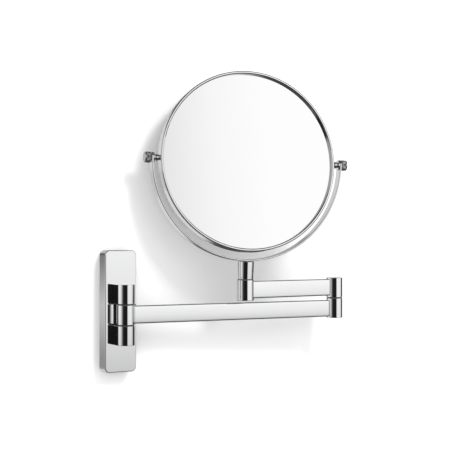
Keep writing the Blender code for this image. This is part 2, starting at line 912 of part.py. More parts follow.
piece(
    "yoke_screw",
    mesh_from(
        revolve(
            [
                (0, -LARGE_SCREW_LENGTH),
                (screw_shank - tip_chamfer, -LARGE_SCREW_LENGTH),
                (screw_shank, tip_chamfer - LARGE_SCREW_LENGTH),
                (screw_shank, -YOKE_SCREW_HEAD),
                (screw_head, 0),
                (socket_apothem, 0, HEX),
                (socket_apothem, -SOCKET_DEPTH, HEX),
                (0, -SOCKET_DEPTH),
            ],
            BARREL_SIDES,
        ),
        "yoke_screw",
    ),
    STEEL,
    yoke_frame,
    location=(0, 0, yoke_screw_z),
)

# --- Mirror head ------------------------------------------------------------

half_head = HEAD_THICKNESS / 2
cap_z = half_head - BEZEL_CAP
rim_inner = MIRROR_RADIUS - RIM_WALL
skirt_outer = rim_inner - SEAT_GAP
bezel_inner = MIRROR_RADIUS - BEZEL_WIDTH
skirt_z = half_head - GLASS_RECESS
rim_z = cap_z - SEAT_GAP
rim = piece(
    "rim_ring",
    mesh_from(
        revolve(
            [
                (MIRROR_RADIUS, -rim_z),
                (MIRROR_RADIUS, rim_z),
                (rim_inner, rim_z),
                (rim_inner, -rim_z),
            ],
            HEAD_SIDES,
        ),
        "rim_ring",
    ),
    CHROME,
    head_frame,
    rotation=FACE_WALL,
)
drill(
    rim,
    [
        (stud_hole, (side * MIRROR_RADIUS * 0.9, 0, 0), (side * MIRROR_RADIUS * 1.1, 0, 0))
        for side in (-1, 1)
    ],
    head_frame,
)
bezel = mesh_from(
    revolve(
        [
            (MIRROR_RADIUS, cap_z),
            (MIRROR_RADIUS, half_head - BEZEL_EDGE_RADIUS),
            (MIRROR_RADIUS - BEZEL_EDGE_RADIUS, half_head),
            (bezel_inner + BEZEL_EDGE_RADIUS, half_head),
            (bezel_inner, half_head - BEZEL_EDGE_RADIUS),
            (bezel_inner, skirt_z),
            (skirt_outer, skirt_z),
            (skirt_outer, cap_z),
        ],
        HEAD_SIDES,
    ),
    "bezel",
)
glass_front_z = skirt_z - SEAT_GAP
glass_back_z = glass_front_z - GLASS_THICKNESS
glass_radius = rim_inner - SEAT_GAP
flat_glass = mesh_from(
    revolve(
        [
            (0, glass_back_z),
            (glass_radius, glass_back_z),
            (glass_radius, glass_front_z),
            (0, glass_front_z),
        ],
        HEAD_SIDES,
    ),
    "front_glass",
)
hollow_steps = 4
hollow_outline = [(0, glass_back_z), (glass_radius, glass_back_z), (glass_radius, glass_front_z)]
for step in range(hollow_steps + 1):
    share = 1 - step / hollow_steps
    depth = GLASS_HOLLOW * (1 - share**2)
    hollow_outline.append((bezel_inner * share, glass_front_z - depth))
hollow_glass = mesh_from(revolve(hollow_outline, HEAD_SIDES), "rear_glass")
FACE_ROOM_BEHIND = (-math.pi / 2, 0, 0)
piece("front_bezel", bezel, CHROME, head_frame, rotation=FACE_WALL)
piece("rear_bezel", bezel, CHROME, head_frame, rotation=FACE_ROOM_BEHIND)
piece("front_glass", flat_glass, MIRROR, head_frame, rotation=FACE_WALL)
piece("rear_glass", hollow_glass, MIRROR, head_frame, rotation=FACE_ROOM_BEHIND)
board_z = glass_back_z - SEAT_GAP
board = mesh_from(
    revolve(
        [(0, -board_z), (glass_radius, -board_z), (glass_radius, board_z), (0, board_z)],
        HEAD_SIDES,
    ),
    "backing_board",
)
piece("backing_board", board, BOARD, head_frame, rotation=FACE_WALL)

# --- Tilt pivots ------------------------------------------------------------

washer_start = YOKE_INNER - SEAT_GAP - PIVOT_WASHER_THICKNESS
spacer_start = MIRROR_RADIUS + SEAT_GAP
spacer_end = washer_start - SEAT_GAP
stud = mesh_from(
    revolve(chamfered_rod(STUD_RADIUS, STUD_START, STUD_END, SEAT_GAP), SMALL_SIDES), "stud"
)
spacer = mesh_from(
    revolve(
        chamfered_tube(SPACER_RADIUS, stud_hole, spacer_start, spacer_end, SEAT_GAP), SMALL_SIDES
    ),
    "spacer",
)
washer = mesh_from(
    revolve(
        chamfered_tube(
            PIVOT_WASHER_RADIUS,
            stud_hole,
            washer_start,
            washer_start + PIVOT_WASHER_THICKNESS,
            SEAT_GAP / 2,
        ),
        SMALL_SIDES,
    ),
    "pivot_washer",
)
body_start = KNOB_START + KNOB_NECK_LENGTH
body_end = body_start + KNOB_LENGTH
bore_end = KNOB_START + KNOB_BORE_DEPTH
knob_edge = KNURL_DEPTH * 2
knob_outline = [
    (stud_hole, bore_end),
    (stud_hole, KNOB_START),
    (KNOB_NECK_RADIUS, KNOB_START),
    (KNOB_NECK_RADIUS, body_start),
    (KNOB_RADIUS - knob_edge, body_start),
    (KNOB_RADIUS, body_start + knob_edge, KNURL),
    (KNOB_RADIUS, body_end - 3 * knob_edge, KNURL),
    (KNOB_RADIUS - KNURL_DEPTH, body_end - 2.5 * knob_edge),
    (KNOB_RADIUS - KNURL_DEPTH, body_end - knob_edge),
    (KNOB_RADIUS - KNURL_DEPTH - knob_edge, body_end),
    (0, body_end),
    (0, bore_end),
]
knob = mesh_from(revolve(knob_outline, 2 * KNOB_TEETH), "knob")
for side, turn in (("left", -math.pi / 2), ("right", math.pi / 2)):
    sideways = (0, turn, 0)
    piece("pivot_stud_" + side, stud, STEEL, head_frame, rotation=sideways)
    piece("pivot_spacer_" + side, spacer, CHROME, head_frame, rotation=sideways)
    piece("pivot_washer_" + side, washer, CHROME, head_frame, rotation=sideways)
    knob_frame = frame("knob_frame_" + side, head_frame)
    piece("knob_" + side, knob, CHROME, knob_frame, rotation=sideways)
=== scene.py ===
import json
import math
import bmesh
import bpy
from mathutils import Matrix, Vector


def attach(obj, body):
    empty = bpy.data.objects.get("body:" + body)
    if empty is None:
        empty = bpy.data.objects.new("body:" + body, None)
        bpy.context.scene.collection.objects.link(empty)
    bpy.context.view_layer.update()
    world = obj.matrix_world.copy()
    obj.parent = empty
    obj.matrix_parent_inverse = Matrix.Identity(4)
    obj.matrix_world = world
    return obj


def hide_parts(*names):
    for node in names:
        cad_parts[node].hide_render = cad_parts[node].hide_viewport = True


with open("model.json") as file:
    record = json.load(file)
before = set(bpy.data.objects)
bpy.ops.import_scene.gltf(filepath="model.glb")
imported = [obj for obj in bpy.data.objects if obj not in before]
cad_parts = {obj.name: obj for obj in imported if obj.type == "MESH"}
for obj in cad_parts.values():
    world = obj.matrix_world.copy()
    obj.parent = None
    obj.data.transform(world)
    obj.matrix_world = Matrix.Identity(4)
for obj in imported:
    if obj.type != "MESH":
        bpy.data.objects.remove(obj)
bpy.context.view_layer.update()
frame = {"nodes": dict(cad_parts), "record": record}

nodes = frame["nodes"]
joints = {j["name"]: j for j in frame["record"]["behaviour"]["joints"]}

# Sizes of the visible pieces, in metres, as in the CAD model
GAP = 0.0003
SEAM = 0.0011
PLATE = (0.035, 0.126, 0.015)
PLATE_CORNER = 0.0050
PLATE_EDGE = 0.0009
PLATE_LIP = 0.00025
COVER_WALL = 0.0016
COVER_DEPTH = 0.0125
COVER_CORNER = 0.0005
COVER_SCREW_HOLE = 0.0023
COVER_SCREW_DEPTH = 0.005
KNUCKLE_SCREW_HOLE = 0.0018
KNUCKLE_SCREW_SPACING = 0.010
BARREL = 0.009
BARREL_EDGE = 0.00035
BORE = 0.0055
BUSH_SEAT = 0.0083
PIN = 0.004
PIN_HOLE_ROOF = 0.004
PLUG_HEIGHT = 0.003
FINE_EDGE = 0.0002
SMALL_EDGE = 0.0003
KNUCKLE_HEIGHT = 0.020
KNUCKLE_SPACING = 0.0224
WALL_BARREL_HALF = 0.0101
ARM_HEIGHT = 0.0185
ARM_THICKNESS = 0.006
ARM_EDGE = 0.0014
ARM_CROWN = 0.0001
ARM_RISE = 0.0235
LOWER_ARM = 0.250
UPPER_ARM = 0.1207
ELBOW_HALF = 0.0224
COUNTERBORE = 0.0066
COUNTERBORE_DEPTH = 0.0070
SPLIT_Z = 0.01175
STEM_SPLIT_Z = 0.0347
STEM_RADIUS = 0.0086
STEM_SCREW = (0.0023, 0.007)
STEM_BORE_DEPTH = 0.009
YOKE_INNER = 0.1044
YOKE_OUTER = 0.1062
YOKE_WIDTH = 0.0116
YOKE_EDGE = 0.00062
PIVOT_Z = 0.1605
MIRROR = 0.097
HALF_HEAD = 0.007
BEZEL_INNER = 0.094
BEZEL_CAP = 0.0015
BEZEL_SLOPE = 0.0010
BEZEL_OUTER_DROP = 0.0007
BEZEL_INNER_DROP = 0.00085
BEZEL_EDGE = 0.0001
RIM_WALL = 0.0013
GLASS_RECESS = 0.0035
GLASS_THICKNESS = 0.0026
GLASS_HOLLOW = 0.0015
STUD_HOLE = 0.0028
KNOB_START = 0.1065
KNOB_RADIUS = 0.00575
KNOB_LENGTH = 0.0062
KNOB_NECK = (0.0043, 0.0003)
KNOB_END_WALL = 0.002
KNOB_TEETH = 44
KNOB_GROOVE = 0.00025
PIVOT_DISC = (0.0055, 0.0011)
COLLAR = (0.0029, 0.0036)
ARM_SWING = math.radians(-4.0)
ELBOW_FOLD = math.radians(187.0)
STEM_TURN = math.radians(-195.8)
STEM_LEAN = math.radians(1.2)
BUSH_MIDDLE = 0.03015
MIRROR_TILT = math.radians(-5.8)


# --- Places -----------------------------------------------------------------

hinge = Vector(joints["wall_hinge"]["pos_m"])
wall_place = Matrix.Translation(hinge)
lower_place = wall_place @ Matrix.Rotation(ARM_SWING, 4, "Z")
upper_place = (
    lower_place @ Matrix.Translation((LOWER_ARM, 0, 0)) @ Matrix.Rotation(ELBOW_FOLD, 4, "Z")
)
stem_axis = upper_place @ Matrix.Translation((UPPER_ARM, 0, 0))
yoke_place = (
    stem_axis
    @ Matrix.Translation((0, 0, BUSH_MIDDLE))
    @ Matrix.Rotation(STEM_TURN, 4, "Z")
    @ Matrix.Rotation(STEM_LEAN, 4, "Y")
    @ Matrix.Translation((0, 0, -BUSH_MIDDLE))
)
head_place = (
    yoke_place @ Matrix.Translation((0, 0, PIVOT_Z)) @ Matrix.Rotation(MIRROR_TILT, 4, "X")
)
face_room = Matrix.Rotation(math.pi / 2, 4, "X")
face_back = Matrix.Rotation(-math.pi / 2, 4, "X")
to_side = {
    "left": Matrix.Rotation(-math.pi / 2, 4, "Y"),
    "right": Matrix.Rotation(math.pi / 2, 4, "Y"),
}


# --- Mesh tools -------------------------------------------------------------


def fillet(points, steps=5):
    """Round the corners of a closed outline; a third entry is the corner's radius."""
    rounded = []
    count = len(points)
    for index in range(count):
        here = Vector(points[index][:2])
        radius = points[index][2] if len(points[index]) > 2 else 0.0
        if radius <= 0:
            rounded.append((here.x, here.y))
            continue
        before = Vector(points[index - 1][:2]) - here
        after = Vector(points[(index + 1) % count][:2]) - here
        half = before.angle(after) / 2
        reach = min(radius / math.tan(half), before.length * 0.49, after.length * 0.49)
        radius = reach * math.tan(half)
        middle = here + (before.normalized() + after.normalized()).normalized() * (
            radius / math.sin(half)
        )
        start = here + before.normalized() * reach - middle
        end = here + after.normalized() * reach - middle
        sweep = start.angle(end)
        for step in range(steps + 1):
            share = step / steps
            first = math.sin((1 - share) * sweep) / math.sin(sweep)
            second = math.sin(share * sweep) / math.sin(sweep)
            spot = middle + start * first + end * second
            rounded.append((spot.x, spot.y))
    return rounded


def weigh_normals(item):
    weigh = item.modifiers.new("weighted_normals", "WEIGHTED_NORMAL")
    weigh.keep_sharp = True
    weigh.weight = 100


def finish_mesh(name, bm, place, sharp=40.0):
    """Turn the bmesh into an object at its place, smooth except where it turns sharply."""
    bmesh.ops.remove_doubles(bm, verts=bm.verts, dist=2e-7)
    bmesh.ops.recalc_face_normals(bm, faces=bm.faces)
    mesh = bpy.data.meshes.new(name)
    bm.to_mesh(mesh)
    bm.free()
    mesh.transform(place)
    mesh.shade_smooth()
    mesh.set_sharp_from_angle(angle=math.radians(sharp))
    item = bpy.data.objects.new(name, mesh)
    bpy.context.scene.collection.objects.link(item)
    weigh_normals(item)
    return item


def lathe(name, outline, place, segments=96, steps=5, shape=None):
    """Turn a closed (radius, height) outline about Z; shape may vary a ring's radius."""
    bm = bmesh.new()
    rings = []
    for radius, height in fillet(outline, steps):
        if radius < 1e-7:
            rings.append([bm.verts.new((0, 0, height))])
            continue
        ring = []
        for index in range(segments):
            angle = 2 * math.pi * index / segments
            reach = shape(radius, height, index) if shape else radius
            ring.append(bm.verts.new((reach * math.cos(angle), reach * math.sin(angle), height)))
        rings.append(ring)
    for first, second in zip(rings, rings[1:] + rings[:1]):
        if len(first) == 1 and len(second) == 1:
            continue
        for index in range(segments):
            after = (index + 1) % segments
            corners = [first[0]] if len(first) == 1 else [first[index], first[after]]
            corners += [second[0]] if len(second) == 1 else [second[after], second[index]]
            bm.faces.new(corners)
    return finish_mesh(name, bm, place)


def loft(bm, loops):
    """Join loops of equal length, one after another, and close the two ends."""
    rings = [[bm.verts.new(point) for point in loop] for loop in loops]
    for first, second in zip(rings, rings[1:]):
        for index in range(len(first)):
            after = (index + 1) % len(first)
            bm.faces.new((first[index], first[after], second[after], second[index]))
    bm.faces.new(rings[0])
    bm.faces.new(rings[-1])


def circle(radius, segments):
    """Points (x, y) on a circle, from the +X side round through +Y."""
    angles = [2 * math.pi * index / segments for index in range(segments)]
    return [(radius * math.cos(angle), radius * math.sin(angle)) for angle in angles]


def rounded_box(width, height, radius, steps=12):
    """Outline of a rectangle with round corners, centred on the origin."""
    points = []
    for sign_x, sign_y, turn in ((1, 1, 0), (-1, 1, 1), (-1, -1, 2), (1, -1, 3)):
        for step in range(steps + 1):
            angle = math.pi / 2 * (turn + step / steps)
            points.append(
                (
                    sign_x * (width / 2 - radius) + radius * math.cos(angle),
                    sign_y * (height / 2 - radius) + radius * math.sin(angle),
                )
            )
    return points


def cut(target, cutters):
    """Take temporary solids out of the target and keep only the result."""
    for cutter in cutters:
        modifier = target.modifiers.new("cut", "BOOLEAN")
        modifier.operation = "DIFFERENCE"
        modifier.solver = "EXACT"
        modifier.object = cutter
    target.modifiers.remove(target.modifiers["weighted_normals"])
    graph = bpy.context.evaluated_depsgraph_get()
    result = bpy.data.meshes.new_from_object(target.evaluated_get(graph))
    result.name = target.name
    target.modifiers.clear()
    old = target.data
    target.data = result
    bpy.data.meshes.remove(old)
    for cutter in cutters:
        bpy.data.objects.remove(cutter, do_unlink=True)
    result.shade_smooth()
    result.set_sharp_from_angle(angle=math.radians(40))
    weigh_normals(target)


def rod(radius, start, end, segments):
    """Temporary round cutter between two points."""
    start, end = Vector(start), Vector(end)
    along = end - start
    place = Matrix.Translation(start) @ along.to_track_quat("Z", "Y").to_matrix().to_4x4()
    outline = [(0, 0), (radius, 0), (radius, along.length), (0, along.length)]
    return lathe("cutter", outline, place, segments)


# --- Materials --------------------------------------------------------------


class Nodes:
    """Shorthand for building one material's node tree."""

    def __init__(self, name, color, metallic, **sockets):
        self.material = bpy.data.materials.new(name)
        self.material.use_nodes = True
        self.tree = self.material.node_tree
        self.shader = self.tree.nodes["Principled BSDF"]
        self.shader.inputs["Base Color"].default_value = (*color, 1)
        self.shader.inputs["Metallic"].default_value = metallic
        for key, value in sockets.items():
            self.shader.inputs[key.replace("_", " ")].default_value = value
        self.coords = self.tree.nodes.new("ShaderNodeTexCoord").outputs["Object"]

    def link(self, source, target):
        self.tree.links.new(source, target)

    def node(self, kind, **values):
        made = self.tree.nodes.new("ShaderNode" + kind)
        for key, value in values.items():
            setattr(made, key, value)
        return made

    def stretched(self, scale, turn=(0, 0, 0)):
        mapping = self.node("Mapping")
        mapping.inputs["Scale"].default_value = scale
        mapping.inputs["Rotation"].default_value = turn
        self.link(self.coords, mapping.inputs["Vector"])
        return mapping.outputs["Vector"]

    def noise(self, scale, detail=4.0, rough=0.5, vector=None, distortion=0.0):
        made = self.node("TexNoise")
        made.inputs["Scale"].default_value = scale
        made.inputs["Detail"].default_value = detail
        made.inputs["Roughness"].default_value = rough
        made.inputs["Distortion"].default_value = distortion
        self.link(vector or self.coords, made.inputs["Vector"])
        return made.outputs["Fac"]

    def span(self, value, low, high, to_low, to_high):
        made = self.node("MapRange")
        made.inputs["From Min"].default_value = low
        made.inputs["From Max"].default_value = high
        made.inputs["To Min"].default_value = to_low
        made.inputs["To Max"].default_value = to_high
        self.link(value, made.inputs["Value"])
        return made.outputs["Result"]

    def math(self, operation, first, second):
        made = self.node("Math", operation=operation)
        for socket, value in zip(made.inputs, (first, second)):
            if isinstance(value, (int, float)):
                socket.default_value = value
            else:
                self.link(value, socket)
        return made.outputs["Value"]

    def tint(self, value, dark, light):
        made = self.node("Mix", data_type="RGBA")
        made.inputs["A"].default_value = (*dark, 1)
        made.inputs["B"].default_value = (*light, 1)
        self.link(value, made.inputs["Factor"])
        return made.outputs["Result"]

    def bump(self, height, distance, strength=1.0, onto=None):
        made = self.node("Bump")
        made.inputs["Distance"].default_value = distance
        made.inputs["Strength"].default_value = strength
        self.link(height, made.inputs["Height"])
        if onto:
            self.link(onto, made.inputs["Normal"])
        return made.outputs["Normal"]

    def hairlines(self, scale, stretch, turn, width):
        """Sparse straight hairline scratches: 1 on a scratch and 0 beside it."""
        lines = self.noise(scale, 1.0, 0.4, self.stretched(stretch, turn))
        near = self.math("ABSOLUTE", self.math("SUBTRACT", lines, 0.5), 0)
        line = self.span(near, 0.0, width, 1.0, 0.0)
        patches = self.span(self.noise(scale * 0.6, 2.0), 0.52, 0.68, 0.0, 1.0)
        return self.math("MULTIPLY", line, patches)

    def set(self, socket, value):
        self.link(value, self.shader.inputs[socket])


def chrome(name, seed_turn, smudge=1.0, shade=0.87, satin=0.0):
    """Chrome plate: polishing swirls, hairlines, wiped smudges; satin adds roughness."""
    made = Nodes(name, (0.87, 0.875, 0.88), 1.0, Roughness=0.05)
    cloud = made.noise(38.0, 5.0, 0.55, made.stretched((1, 1, 0.7), (0, 0, seed_turn)), 0.6)
    wiped = made.noise(9.0, 3.0, 0.6, made.stretched((1.0, 1.0, 2.6), (0.3, seed_turn, 0.2)), 1.2)
    marks = made.math(
        "MULTIPLY",
        made.span(wiped, 0.50, 0.74, 0.0, 1.0),
        made.span(cloud, 0.35, 0.75, 0.25, 1.0),
    )
    lines = made.math(
        "MAXIMUM",
        made.hairlines(160.0, (1, 1, 14), (0.15, 0.1, seed_turn), 0.006),
        made.hairlines(210.0, (14, 1, 1), (0.05, 0.25, 0.1 + seed_turn), 0.005),
    )
    rough = made.span(cloud, 0.3, 0.7, 0.022 + satin, 0.045 + satin)
    rough = made.math("ADD", rough, made.math("MULTIPLY", marks, 0.055 * smudge))
    rough = made.math("ADD", rough, made.math("MULTIPLY", lines, 0.09))
    made.set("Roughness", rough)
    dark = (shade - 0.015, shade - 0.012, shade - 0.008)
    light = (shade + 0.015, shade + 0.017, shade + 0.020)
    made.set("Base Color", made.tint(cloud, dark, light))
    ripple = made.bump(made.noise(70.0, 2.0), 0.0000025)
    made.set("Normal", made.bump(lines, 0.0000012, 1.0, ripple))
    return made.material


def steel():
    """Turned stainless steel: fine tool rings."""
    made = Nodes("steel", (0.56, 0.57, 0.58), 1.0, Roughness=0.25)
    grain = made.noise(420.0, 3.0, 0.6)
    stain = made.noise(90.0, 4.0, 0.6)
    made.set("Base Color", made.tint(stain, (0.48, 0.485, 0.49), (0.64, 0.645, 0.65)))
    made.set("Roughness", made.span(grain, 0.3, 0.7, 0.18, 0.34))
    made.set("Normal", made.bump(grain, 0.000008))
    return made.material


def galvanised():
    """Zinc-plated sheet: pale spangle, chalky patches and a pressed texture."""
    made = Nodes("galvanised", (0.52, 0.53, 0.54), 1.0, Roughness=0.4)
    cells = made.node("TexVoronoi", feature="F1")
    cells.inputs["Scale"].default_value = 260.0
    made.link(made.coords, cells.inputs["Vector"])
    chalk = made.noise(60.0, 6.0, 0.65)
    spangle = cells.outputs["Distance"]
    made.set("Base Color", made.tint(spangle, (0.44, 0.45, 0.46), (0.62, 0.63, 0.64)))
    made.set("Roughness", made.span(chalk, 0.3, 0.7, 0.30, 0.55))
    made.set("Normal", made.bump(chalk, 0.00002))
    return made.material


def nylon():
    """Black moulded nylon with a fine matt grain."""
    made = Nodes("nylon", (0.03, 0.03, 0.032), 0.0, Roughness=0.45)
    grain = made.noise(900.0, 2.0)
    cloud = made.noise(80.0, 3.0)
    made.set("Base Color", made.tint(cloud, (0.022, 0.022, 0.024), (0.045, 0.045, 0.048)))
    made.set("Roughness", made.span(grain, 0.3, 0.7, 0.38, 0.55))
    made.set("Normal", made.bump(grain, 0.00001))
    return made.material


def board():
    """Grey-black pressed board behind the glass."""
    made = Nodes("board", (0.09, 0.09, 0.09), 0.0, Roughness=0.8)
    fibre = made.noise(500.0, 4.0, 0.7, made.stretched((1, 6, 1)))
    made.set("Base Color", made.tint(fibre, (0.07, 0.07, 0.07), (0.14, 0.135, 0.13)))
    made.set("Roughness", made.span(fibre, 0.3, 0.7, 0.7, 0.9))
    made.set("Normal", made.bump(fibre, 0.00004))
    return made.material


def silvered(name, seed_turn):
    """Silvered float glass with very faint wipe marks."""
    made = Nodes(
        name,
        (0.95, 0.95, 0.95),
        1.0,
        Roughness=0.005,
        Coat_Weight=0.25,
        Coat_Roughness=0.01,
        Coat_IOR=1.5,
    )
    wipe = made.noise(14.0, 3.0, 0.55, made.stretched((1, 1, 2.2), (0, seed_turn, 0.0)), 1.5)
    haze = made.noise(3.2, 2.0, 0.5, made.stretched((1, 1, 1), (0.4, seed_turn, 0.1)), 0.4)
    dust = made.span(made.noise(1400.0, 0.0), 0.78, 0.82, 0.0, 1.0)
    marks = made.math("MULTIPLY", made.span(haze, 0.45, 0.7, 0.0, 1.0), wipe)
    rough = made.math("ADD", made.math("MULTIPLY", marks, 0.030), 0.004)
    made.set("Roughness", made.math("ADD", rough, made.math("MULTIPLY", dust, 0.05)))
    made.set("Base Color", made.tint(haze, (0.945, 0.946, 0.946), (0.958, 0.959, 0.959)))
    made.set("Normal", made.bump(made.noise(5.0, 1.0), 0.00001))
    return made.material


CHROME_PLATE = chrome("chrome_plate", 0.4)
CHROME_ARM = chrome("chrome_arm", 1.3, 1.0, 0.92)
CHROME_HEAD = chrome("chrome_head", 2.2, 0.7, 0.90)
KNURLED = chrome("chrome_knurled", 0.9, 0.7, 0.62, 0.22)
STEEL = steel()
GALVANISED = galvanised()
NYLON = nylon()
BOARD = board()
GLASS_FRONT = silvered("silvered_front", 0.2)
GLASS_REAR = silvered("silvered_rear", 1.1)


def place_piece(item, body, material, slot, *replaced):
    """Give a piece its material, its body and the CAD nodes it stands for; the slot is not used.
    """
    item.data.materials.clear()
    item.data.materials.append(material)
    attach(item, body)
    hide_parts(*replaced)


# --- Wall plate -------------------------------------------------------------

width, height, depth = PLATE


def plate_loops(steps):
    """Round-cornered outlines of the plate, each inset and at its own height off the wall."""
    loops = []
    for inset, level in steps:
        outline = rounded_box(width - 2 * inset, height - 2 * inset, PLATE_CORNER - inset)
        loops.append([(x, -level, z) for x, z in outline])
    return loops


outer_steps = [(PLATE_LIP, 0.0), (0.0, PLATE_LIP), (0.0, depth - PLATE_EDGE)]
for step in range(1, 7):
    angle = math.pi / 2 * step / 6
    outer_steps.append(
        (
            PLATE_EDGE * (1 - math.cos(angle)),
            depth - PLATE_EDGE + PLATE_EDGE * math.sin(angle),
        )
    )
inner_steps = [
    (COVER_WALL + COVER_CORNER, COVER_DEPTH),
    (COVER_WALL, COVER_DEPTH - COVER_CORNER),
    (COVER_WALL, 0.0),
]
bm = bmesh.new()
loft(bm, plate_loops(inner_steps) + plate_loops(outer_steps))
plate = finish_mesh("plate_cover", bm, Matrix.Identity(4))
past = 0.002
cutters = []
for side in (-1, 1):
    for offset in (-KNUCKLE_SCREW_SPACING / 2, KNUCKLE_SCREW_SPACING / 2):
        z = hinge.z + side * (KNUCKLE_SPACING + KNUCKLE_HEIGHT) / 2 + offset
        start, end = (0, past - COVER_DEPTH, z), (0, -depth - past, z)
        cutters.append(rod(KNUCKLE_SCREW_HOLE, start, end, 24))
start = (0, -COVER_SCREW_DEPTH, -height / 2 - past)
end = (0, -COVER_SCREW_DEPTH, -height / 2 + 2 * past)
cutters.append(rod(COVER_SCREW_HOLE, start, end, 32))
cut(plate, cutters)
place_piece(plate, "wall_mount", CHROME_PLATE, "chrome_plate", "wall_cover")

for level, side in (("upper", 1), ("lower", -1)):
    center = side * (KNUCKLE_SPACING + KNUCKLE_HEIGHT) / 2
    low = center - KNUCKLE_HEIGHT / 2
    high = center + KNUCKLE_HEIGHT / 2
    back = -(depth + GAP) - hinge.y
    rims = [
        (
            BARREL_EDGE * (1 - math.sin(math.pi / 2 * step / 4)),
            low + BARREL_EDGE * (1 - math.cos(math.pi / 2 * step / 4)),
        )
        for step in range(5)
    ]
    rims += [(inset, low + high - level_z) for inset, level_z in reversed(rims)]
    bm = bmesh.new()
    loops = []
    for inset, z in rims:
        radius = BARREL - inset
        loop = [(radius, back, z)]
        loop += [
            (
                radius * math.cos(math.pi * step / 56),
                -radius * math.sin(math.pi * step / 56),
                z,
            )
            for step in range(57)
        ]
        loop.append((-radius, back, z))
        loops.append(loop)
    loft(bm, loops)
    knuckle = finish_mesh("hinge_knuckle_" + level, bm, wall_place)
    top = high - side * PIN_HOLE_ROOF
    start = hinge + Vector((0, 0, low - PIN_HOLE_ROOF))
    bore = rod(PIN + GAP, start, hinge + Vector((0, 0, top)), 64)
    cut(knuckle, [bore])
    place_piece(knuckle, "wall_mount", CHROME_PLATE, "chrome_plate", "knuckle_" + level)

low = -(KNUCKLE_SPACING / 2 + KNUCKLE_HEIGHT)
plug = lathe(
    "hinge_plug",
    [
        (0, low),
        (PIN, low, SMALL_EDGE),
        (PIN, low + PLUG_HEIGHT, SMALL_EDGE),
        (0, low + PLUG_HEIGHT),
    ],
    wall_place,
    64,
)
place_piece(plug, "wall_mount", CHROME_PLATE, "chrome_plate", "wall_hinge_plug")


# --- Arms -------------------------------------------------------------------


def arm_bar(name, length, place, center_z):
    """Flat bar, very slightly crowned by polishing, coped to the barrels at its ends."""
    half_y = ARM_THICKNESS / 2
    half_z = ARM_HEIGHT / 2
    section = []
    rows = 10
    face = half_z - ARM_EDGE
    for sign_y in (1, -1):
        for row in range(rows + 1):
            z = sign_y * face * (1 - 2 * row / rows)
            bow = ARM_CROWN * (z / face) ** 2
            section.append((-sign_y * (half_y - bow), z))
        side_edge = []
        for step in range(1, 6):
            angle = math.pi / 2 * step / 6
            reach = (ARM_EDGE - ARM_CROWN) * math.cos(angle)
            side_edge.append(
                (
                    -sign_y * (half_y - ARM_EDGE + reach),
                    -sign_y * (face + ARM_EDGE * math.sin(angle)),
                )
            )
        section += side_edge
        flat = half_y - ARM_EDGE
        section.append((-sign_y * flat, -sign_y * half_z))
        section.append((0.0, -sign_y * half_z))
        section.append((sign_y * flat, -sign_y * half_z))
        section += [(-y, z) for y, z in reversed(side_edge)]
    reach = BARREL + GAP
    bm = bmesh.new()
    loops = []
    stations = 14
    for station in range(stations + 1):
        share = station / stations
        loop = []
        for y, z in section:
            start = math.sqrt(reach**2 - y**2)
            end = length - math.sqrt(reach**2 - y**2)
            loop.append((start + (end - start) * share, y, center_z + z))
        loops.append(loop)
    loft(bm, loops)
    bmesh.ops.triangulate(bm, faces=[f for f in bm.faces if len(f.verts) > 4])
    return finish_mesh(name, bm, place)


lower_bar = arm_bar("lower_bar", LOWER_ARM, lower_place, 0)
place_piece(lower_bar, "lower_arm", CHROME_ARM, "chrome_arm", "lower_arm_bar")
upper_bar = arm_bar("upper_bar", UPPER_ARM, upper_place, ARM_RISE)
place_piece(upper_bar, "upper_arm", CHROME_ARM, "chrome_arm", "upper_arm_bar")


def barrel_outline(low, high):
    """Barrel with a bush seat at the top and a counterbore underneath."""
    shoulder = low + COUNTERBORE_DEPTH
    seat = high - BUSH_SEAT
    return [
        (BARREL, low, BARREL_EDGE),
        (BARREL, high, BARREL_EDGE),
        (BORE, high, FINE_EDGE),
        (BORE, seat),
        (PIN + GAP, seat),
        (PIN + GAP, shoulder),
        (COUNTERBORE, shoulder),
        (COUNTERBORE, low, FINE_EDGE),
    ]


half = WALL_BARREL_HALF
middle_barrel = lathe(
    "wall_hinge_barrel",
    [
        (BARREL, -half, BARREL_EDGE),
        (BARREL, half, BARREL_EDGE),
        (BORE, half, FINE_EDGE),
        (BORE, -half, FINE_EDGE),
    ],
    lower_place,
    128,
)
place_piece(middle_barrel, "lower_arm", CHROME_ARM, "chrome_arm", "wall_barrel")
elbow_place = lower_place @ Matrix.Translation((LOWER_ARM, 0, 0))
elbow_low = SPLIT_Z - ELBOW_HALF
lower_elbow = lathe(
    "elbow_lower", barrel_outline(elbow_low, SPLIT_Z - SEAM / 2), elbow_place, 128
)
place_piece(lower_elbow, "lower_arm", CHROME_ARM, "chrome_arm", "elbow_lower_barrel")
roof = SPLIT_Z + ELBOW_HALF
upper_elbow = lathe(
    "elbow_upper",
    [
        (0, roof - PIN_HOLE_ROOF),
        (PIN + GAP, roof - PIN_HOLE_ROOF),
        (PIN + GAP, SPLIT_Z + SEAM / 2, FINE_EDGE),
        (BARREL, SPLIT_Z + SEAM / 2, BARREL_EDGE),
        (BARREL, roof, BARREL_EDGE),
        (0, roof),
    ],
    upper_place,
    128,
)
place_piece(upper_elbow, "upper_arm", CHROME_ARM, "chrome_arm", "elbow_upper_barrel")
stem_low = ARM_RISE - ELBOW_HALF / 2
stem_holder = lathe(
    "stem_holder", barrel_outline(stem_low, STEM_SPLIT_Z - SEAM / 2), stem_axis, 128
)
place_piece(stem_holder, "upper_arm", CHROME_ARM, "chrome_arm", "stem_barrel")
